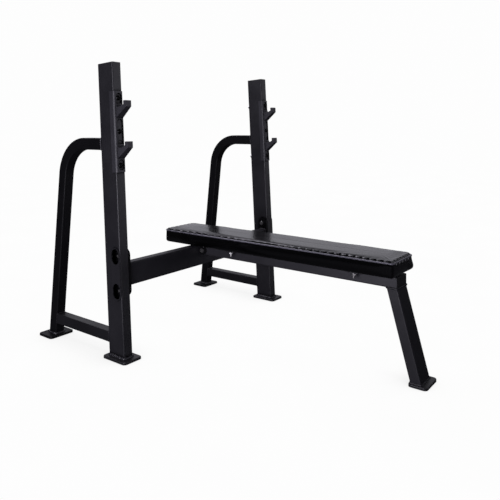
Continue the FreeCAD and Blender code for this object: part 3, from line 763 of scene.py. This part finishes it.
def apply_modifiers(piece):
    graph = bpy.context.evaluated_depsgraph_get()
    graph.update()
    mesh = bpy.data.meshes.new_from_object(piece.evaluated_get(graph))
    piece.modifiers.clear()
    old = piece.data
    piece.data = mesh
    bpy.data.meshes.remove(old)
    smooth(piece.data)


def pucker_phase(y):
    """Running count of the puckers along the pad; they sit closer near the foot end."""
    part = clamp((y - PAD_LOW.y) / PAD_LENGTH)
    growth = (HEAD_PITCH - FOOT_PITCH) / FOOT_PITCH
    return PAD_LENGTH / FOOT_PITCH * math.log(1 + growth * part) / growth


def pucker(point, normal):
    """0 in the middle of a pucker's valley, 1 on its crest, level at the corners."""
    if abs(normal.x) > abs(normal.y):
        phase = pucker_phase(point.y) + 0.12 * noise.noise(Vector((point.y * 9, normal.x * 3, 0.3)))
    else:
        phase = point.x / END_PITCH + 0.12 * noise.noise(Vector((point.x * 9, normal.y * 3, 0.7)))
    calm = abs(normal.x ** 2 - normal.y ** 2)
    return 0.5 + 0.5 * calm * math.cos(2 * math.pi * phase)


SEW_REACH = 0.042                    # puckers fade out this far in from the edge
PANEL_DEPTH, PANEL_INSET = 0.006, 0.0084  # the top panel: higher and further in than this
BAND_DEPTH, BAND_INSET = 0.009, 0.005     # the side band: lower and further out than this
NARROW_DIP = (0.0028, 0.0100, 0.0065)     # depth, inset of its middle, half width
BROAD_DIP = (0.0006, 0.0200, 0.0140)
SIDE_PULL = (0.0012, 0.0110, 0.0090)      # depth, distance below the top, half width


def fold_depth(distance, fold):
    depth, middle, half_width = fold
    return depth * bump(distance - middle, half_width)


def sew(piece):
    """Pulls the top panel and the side band in at every pucker of the seam."""
    for vertex in piece.data.vertices:
        p = vertex.co
        if p.z < PAD_CENTRE.z:
            continue
        inset, normal = edge_facts(p)
        if inset > SEW_REACH:
            continue
        dip = (1 - pucker(p, normal)) ** 2
        if normal.x > 0.3:
            dip *= FAR_CALM
        below = PAD_HIGH.z - p.z
        if below < PANEL_DEPTH and inset > PANEL_INSET:
            p.z -= dip * (fold_depth(inset, NARROW_DIP) + fold_depth(inset, BROAD_DIP))
        elif inset < BAND_INSET and below > BAND_DEPTH:
            pull = dip * fold_depth(below, SIDE_PULL)
            p.x -= normal.x * pull
            p.y -= normal.y * pull


PLEATS = ((-24, 0.0016), (-4, 0.0022), (17, 0.0018), (36, 0.0012))   # degrees round, depth
PLEAT_WIDTH = 8.5                    # degrees to either side
PLEAT_REACH, PLEAT_INSET = 0.055, 0.010   # how far along and into the pad they are felt
PLEAT_FLOOR, PLEAT_TOP = 0.003, 0.010     # they stop short of the underside and of the seam
PLEAT_GAIN = {(1, -1): 1.0, (-1, -1): 0.2, (-1, 1): 0.7, (1, 1): 0.7}   # by side in x and y
BULGES = {(1, -1): 0.0085, (-1, -1): 0.0, (-1, 1): 0.0012, (1, 1): 0.0040}
BULGE_REACH, BULGE_INSET = 0.08, 0.012


def corner_facts(point):
    """Which corner a point is nearest to, and its distances from that corner's two sides."""
    corner = (1 if point.x > PAD_CENTRE.x else -1, 1 if point.y > PAD_CENTRE.y else -1)
    near_x = min(point.x - PAD_LOW.x, PAD_HIGH.x - point.x)
    near_y = min(point.y - PAD_LOW.y, PAD_HIGH.y - point.y)
    return corner, near_x, near_y


def corner_pleats(piece):
    """Vertical tucks where the side band turns a corner."""
    for vertex in piece.data.vertices:
        p = vertex.co
        if not PAD_LOW.z + PLEAT_FLOOR < p.z < PAD_HIGH.z - PLEAT_TOP:
            continue
        corner, near_x, near_y = corner_facts(p)
        if near_x > PLEAT_REACH or near_y > PLEAT_REACH:
            continue
        inset, normal = edge_facts(p)
        if inset > PLEAT_INSET:
            continue
        turned = math.degrees(math.atan2(abs(normal.y), abs(normal.x))) - 45
        height = (p.z - PAD_LOW.z) / (PAD_HIGH.z - PAD_LOW.z)
        fade = ease((1 - height) * 3.0) * ease(height * 6.0)
        lean = (0.5 - height) * 10
        fold = sum(depth * bump(turned - place - lean, PLEAT_WIDTH) for place, depth in PLEATS)
        p.x -= normal.x * fold * PLEAT_GAIN[corner] * fade
        p.y -= normal.y * fold * PLEAT_GAIN[corner] * fade


def bulge_corners(piece):
    """The side band stands out a little, low down, where the cover turns a corner."""
    for vertex in piece.data.vertices:
        p = vertex.co
        if not PAD_LOW.z < p.z < PAD_HIGH.z - PIPE_DEPTH:
            continue
        corner, near_x, near_y = corner_facts(p)
        reach = math.hypot(near_x, near_y)
        inset, normal = edge_facts(p)
        if reach > BULGE_REACH or inset > BULGE_INSET:
            continue
        height = (p.z - PAD_LOW.z) / (PAD_HIGH.z - PIPE_DEPTH - PAD_LOW.z)
        belly = math.sin(math.pi * (1 - height) ** 2)
        out = BULGES[corner] * belly * (1 - ease(reach / BULGE_REACH))
        p.x += normal.x * out
        p.y += normal.y * out


def make_cushion():
    cushion = build_pad_grid("pad_cushion")
    swell(cushion)
    subdivision = cushion.modifiers.new("finer", "SUBSURF")
    subdivision.levels = subdivision.render_levels = 2
    apply_modifiers(cushion)
    sew(cushion)
    corner_pleats(cushion)
    bulge_corners(cushion)
    for vertex in cushion.data.vertices:
        vertex.co.z = max(vertex.co.z, PAD_LOW.z)
    cushion.data.update()
    cushion.data.materials.append(VINYL)
    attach(cushion, "root")
    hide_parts("pad_cover", "pad_foam")
    return cushion


def make_piping():
    """The rolled edge between the top panel and the side band, tighter at every pucker."""
    sides = 14
    bm = bmesh.new()
    rings = []
    for point, normal in plan_outline(FINE_STEP):
        crest = pucker(point, normal)
        radius = PIPE_RADIUS * (0.92 + 0.12 * crest)
        middle = point - normal * (PIPE_RADIUS + PIPE_GAP)
        height = PAD_HIGH.z - PIPE_DEPTH + PIPE_WAVE * (crest - 0.5)
        ring = []
        for corner in range(sides):
            angle = 2 * math.pi * corner / sides
            flat = middle + normal * radius * math.cos(angle)
            ring.append(bm.verts.new((flat.x, flat.y, height + radius * math.sin(angle))))
        rings.append(ring)
    close_tube(bm, rings)
    piping = object_from_bmesh("pad_piping", bm)
    piping.data.materials.append(VINYL_HIGHLIGHT)
    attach(piping, "root")


STITCH_INSET = 0.0150
STITCH_PITCH = 0.0060
STITCH_HALF = (0.0021, 0.00055, 0.00045)     # half length, half width, half height
DOWN = Vector((0, 0, -1))


def make_stitches(cushion):
    """One row of stitches on the top panel, just inside the seam."""
    surface = BVHTree.FromObject(cushion, bpy.context.evaluated_depsgraph_get())
    bm = bmesh.new()
    path = []
    for point, normal in plan_outline(FINE_STEP):
        path.append(Vector((*(point - normal * STITCH_INSET), 0.0)))
    spots = resampled(path, STITCH_PITCH)
    for index, spot in enumerate(spots):
        above = Vector((spot.x, spot.y, PAD_HIGH.z + 0.05))
        hit, normal = surface.ray_cast(above, DOWN)[:2]
        if hit is None:
            continue
        ahead = (spots[(index + 1) % len(spots)] - spots[index - 1]).normalized()
        across = normal.cross(ahead).normalized()
        ahead = across.cross(normal)
        place = Matrix((ahead, across, normal)).transposed().to_4x4()
        place.translation = hit + normal * 0.0001
        shape = place @ Matrix.Diagonal((*STITCH_HALF, 1.0))
        bmesh.ops.create_uvsphere(bm, u_segments=6, v_segments=5, radius=1.0, matrix=shape)
    stitches = object_from_bmesh("pad_stitches", bm)
    stitches.data.materials.append(THREAD)
    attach(stitches, "root")


cushion = make_cushion()
make_piping()
make_stitches(cushion)


# ---------------------------------------------------------------- floor, light, camera
BACKDROP = (0.985, 0.985, 0.985, 1.0)
LAMP_TINT = (1.0, 0.97, 1.10)
FLOOR_BOUNCE = (0.10, 0.10, 0.105, 1.0)
FLOOR_HALF = 14.0
FLOOR_DROP = 0.0002                  # the floor lies a little below the feet
CONTACT_REACH = 0.22                 # how far the feet's soft shade spreads


def make_floor():
    """Floor that looks pale and even, but throws little light back up on the black frame."""
    bm = bmesh.new()
    bmesh.ops.create_grid(bm, x_segments=8, y_segments=8, size=FLOOR_HALF)
    floor = object_from_bmesh("studio_floor", bm)
    floor.location.z = -FLOOR_DROP
    n = Nodes("studio_floor")
    n.set(Base_Color=FLOOR_BOUNCE, Roughness=0.9, Specular_IOR_Level=0.0)
    place = n.place()
    tone = n.noise(place, 2.0, 2.0)
    shade = n.add(
        "ShaderNodeAmbientOcclusion", {"samples": 8, "only_local": False}, Distance=CONTACT_REACH
    )
    pale = n.mix(tone, (0.975, 0.975, 0.975, 1.0), (0.995, 0.995, 0.995, 1.0))
    # painted shadow: the glow the camera sees is dimmed near the feet
    contact = n.ramp(shade.outputs["AO"], 0.30, 0.90, 0.80, 1.0)
    glow = n.add("ShaderNodeEmission", Color=pale, Strength=contact)
    ray = n.add("ShaderNodeLightPath").outputs["Is Camera Ray"]
    seen = n.add("ShaderNodeMixShader")
    n.put(seen.inputs[0], ray)
    n.put(seen.inputs[1], n.shader.outputs["BSDF"])
    n.put(seen.inputs[2], glow.outputs["Emission"])
    n.tree.links.new(seen.outputs["Shader"], n.output.inputs["Surface"])
    floor.data.materials.append(n.material)


def area_light(name, place, target, size, power):
    data = bpy.data.lights.new(name, "AREA")
    data.shape = "RECTANGLE"
    data.size, data.size_y = size
    data.energy = power
    data.color = LAMP_TINT
    lamp = bpy.data.objects.new(name, data)
    lamp.location = place
    lamp.visible_camera = False
    direction = Vector(target) - Vector(place)
    lamp.rotation_euler = direction.to_track_quat("-Z", "Y").to_euler()
    bpy.context.scene.collection.objects.link(lamp)
    return lamp


def keep_light_off(lamp, piece):
    """Leaves one piece out of what a lamp lights."""
    receivers = bpy.data.collections.new(lamp.name + "_receivers")
    lamp.light_linking.receiver_collection = receivers
    receivers.objects.link(piece)
    receivers.collection_objects[0].light_linking.link_state = "EXCLUDE"


ROOM_DIM = (0.030, 0.030, 0.034, 1.0)
BRIGHT_WALLS = (                     # direction, cosines where it starts and is full, brightness
    ((0.80, 0.60, 0.15), (0.44, 0.94), (0.46, 0.455, 0.50, 1.0)),
    ((0.56, -0.82, 0.10), (0.86, 0.97), (1.10, 1.08, 1.22, 1.0)),
)


def add_wall(tree, view, room, wall):
    """Lays one bright wall over the room's colour so far."""
    direction, (start, full), colour = wall
    facing = tree.nodes.new("ShaderNodeVectorMath")
    facing.operation = "DOT_PRODUCT"
    facing.inputs[1].default_value = Vector(direction).normalized()
    tree.links.new(view, facing.inputs[0])
    share = tree.nodes.new("ShaderNodeMapRange")
    share.interpolation_type = "SMOOTHSTEP"
    share.inputs["From Min"].default_value = start
    share.inputs["From Max"].default_value = full
    tree.links.new(facing.outputs["Value"], share.inputs["Value"])
    blend = tree.nodes.new("ShaderNodeMix")
    blend.data_type = "RGBA"
    blend.inputs["B"].default_value = colour
    tree.links.new(room, blend.inputs["A"])
    tree.links.new(share.outputs["Result"], blend.inputs["Factor"])
    return blend.outputs["Result"]


def make_world():
    """Pale backdrop for the camera; a dim room with two bright walls for reflections."""
    world = bpy.data.worlds.new("studio")
    bpy.context.scene.world = world
    world.use_nodes = True
    tree = world.node_tree
    background = tree.nodes["Background"]
    view = tree.nodes.new("ShaderNodeTexCoord").outputs["Generated"]
    dim = tree.nodes.new("ShaderNodeRGB")
    dim.outputs["Color"].default_value = ROOM_DIM
    room = dim.outputs["Color"]
    for wall in BRIGHT_WALLS:
        room = add_wall(tree, view, room, wall)
    ray = tree.nodes.new("ShaderNodeLightPath")
    seen = tree.nodes.new("ShaderNodeMix")
    seen.data_type = "RGBA"
    seen.inputs["B"].default_value = BACKDROP
    tree.links.new(ray.outputs["Is Camera Ray"], seen.inputs["Factor"])
    tree.links.new(room, seen.inputs["A"])
    tree.links.new(seen.outputs["Result"], background.inputs["Color"])


CAMERA_PLACE = (-1.96866, -1.75429, 0.93139)
CAMERA_YAW = math.radians(53.30)
CAMERA_PITCH = math.radians(0.92)
CAMERA_ROLL = math.radians(-0.12)
LENS = 39.98
FRAME_SHIFT = (-0.0200, -0.2244)     # the view is cropped from a larger, nearly level one


def make_camera():
    data = bpy.data.cameras.new("camera")
    data.lens = LENS
    data.sensor_width = 36.0
    camera = bpy.data.objects.new("camera", data)
    bpy.context.scene.collection.objects.link(camera)
    forward = Vector((
        math.sin(CAMERA_YAW) * math.cos(CAMERA_PITCH),
        math.cos(CAMERA_YAW) * math.cos(CAMERA_PITCH),
        -math.sin(CAMERA_PITCH),
    ))
    turn = forward.to_track_quat("-Z", "Y").to_matrix()
    camera.matrix_world = (turn @ Matrix.Rotation(CAMERA_ROLL, 3, "Z")).to_4x4()
    camera.location = CAMERA_PLACE
    for axis, shift in zip(("shift_x", "shift_y"), FRAME_SHIFT):
        shift_from_standpoint(data, camera, axis, shift)
    bpy.context.scene.camera = camera


def shift_from_standpoint(data, camera, axis, shift):
    """Crops the frame only from the main standpoint, so any other view is centred."""
    driver = data.driver_add(axis).driver
    variable = driver.variables.new()
    variable.name = "x"
    variable.targets[0].id = camera
    variable.targets[0].data_path = "location[0]"
    driver.expression = f"{shift} if abs(x - ({CAMERA_PLACE[0]})) < 0.001 else 0.0"


make_floor()
make_world()
side_softbox = area_light("side_softbox", (-3.0, -0.95, 0.75), (0.0, -0.80, 0.55), (2.4, 1.3), 66)
keep_light_off(side_softbox, cushion)
area_light("rear_softbox", (-0.3, 0.9, 2.40), (0.0, -0.2, 0.5), (1.6, 1.6), 26)
make_camera()
bpy.context.scene.view_settings.view_transform = "Standard"
